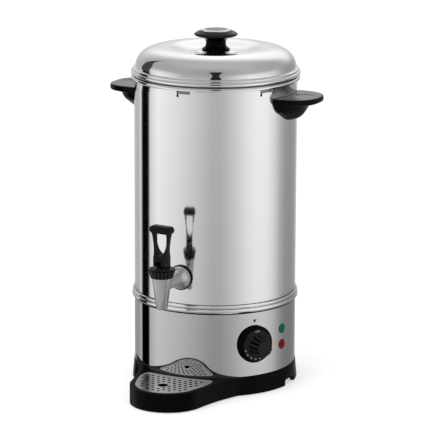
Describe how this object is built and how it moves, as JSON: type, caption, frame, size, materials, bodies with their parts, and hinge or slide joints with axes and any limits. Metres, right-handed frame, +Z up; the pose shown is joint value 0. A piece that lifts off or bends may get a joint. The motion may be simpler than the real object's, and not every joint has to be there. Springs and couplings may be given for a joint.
{
  "type": "hot water urn",
  "caption": "Tall round steel hot water urn with a domed lid, side handles, a lever tap over a drip grid and a thermostat dial on a black base.",
  "frame": {"origin": "on the tank's axis, at the level of the undersides of the feet", "axes": "+Z up; -Y is the front, where the tap and the drip grid are; +X is the right-hand side seen from above with the tap pointing down the page"},
  "size_m": [0.304, 0.3153, 0.4809],
  "materials": {
    "polished_steel": "mirror polished stainless sheet",
    "satin_metal": "satin",
    "steel_rod": "turned",
    "black_plastic": "satin moulded",
    "knob_cap": "smooth grey inlay",
    "zinc_steel": "bright zinc plated",
    "black_rubber": "matt",
    "silicone": "translucent white",
    "white_nylon": "moulded",
    "copper": "bright copper tube",
    "green_lens": "clear tinted, faceted",
    "red_lens": "clear tinted, faceted",
    "cast_aluminium": "as cast",
    "element_sheath": "heat-tinted sheath",
    "phenolic": "moulded",
    "red_button": "moulded",
    "brown_wire": "wire insulation",
    "black_wire": "wire insulation",
    "blue_wire": "wire insulation",
    "green_wire": "wire insulation",
    "brass": "turned"
  },
  "bodies": {
    "urn": {"base_moulding": "black_plastic", "bottom_plate": "zinc_steel", "bottom_screws": "zinc_steel", "rubber_feet": "black_rubber", "base_shell": "polished_steel", "tank": "polished_steel", "joint_band": "polished_steel", "tie_rods": "zinc_steel", "tie_nuts": "zinc_steel", "handle_left": "black_plastic", "handle_right": "black_plastic", "handle_screws": "zinc_steel", "handle_washers": "silicone", "tap_body": "satin_metal", "tap_seal": "black_rubber", "tap_inner_washer": "silicone", "tap_nut": "satin_metal", "tap_bonnet": "black_plastic", "tap_spring": "zinc_steel", "tap_stem": "black_plastic", "seat_cup": "silicone", "thermostat_body": "white_nylon", "thermostat_screws": "zinc_steel", "thermostat_sensor": "copper", "lamp_green": "green_lens", "lamp_red": "red_lens", "lamp_clips": "white_nylon", "heat_plate": "cast_aluminium", "heating_element": "element_sheath", "cutout_body": "phenolic", "cutout_sensor": "copper", "terminal_block": "white_nylon", "wire_live": "brown_wire", "wire_switched": "black_wire", "wire_neutral": "blue_wire", "wire_earth": "green_wire", "earth_stud": "brass", "power_inlet": "black_plastic", "inlet_gasket": "black_rubber", "inlet_pins": "brass", "inlet_screws": "zinc_steel"},
    "lid": {"lid": "polished_steel", "knob_plate": "polished_steel", "lid_knob": "black_plastic", "knob_ring": "polished_steel", "knob_disc": "knob_cap", "knob_washer": "silicone", "knob_screw": "zinc_steel"},
    "lever": {"tap_lever": "black_plastic", "lever_pin": "steel_rod"},
    "dial": {"thermostat_dial": "black_plastic", "thermostat_spindle": "steel_rod"},
    "grid": {"drip_grid": "satin_metal"},
    "button": {"reset_button": "red_button"}
  },
  "joints": [
    {"name": "lid_lift", "type": "slide", "parent": "urn", "child": "lid", "axis": [0, 0, 1], "range_m": [0, 0.12]},
    {"name": "lever_pull", "type": "hinge", "parent": "urn", "child": "lever", "pos_m": [0, -0.168, 0.193], "axis": [0.9914, -0.1305, 0], "range_deg": [0, 30], "stiffness_Nm_per_rad": 0.15, "springref_deg": -17.19},
    {"name": "dial_turn", "type": "hinge", "parent": "urn", "child": "dial", "pos_m": [0.08842, -0.06543, 0.07], "axis": [-0.8039, 0.5948, 0], "range_deg": [0, 270]},
    {"name": "grid_lift", "type": "slide", "parent": "urn", "child": "grid", "axis": [0, 0, 1], "range_m": [0, 0.04]},
    {"name": "reset_press", "type": "slide", "parent": "urn", "child": "button", "axis": [0, 0, 1], "range_m": [0, 0.002], "stiffness_N_per_m": 400, "springref_m": -0.002}
  ]
}
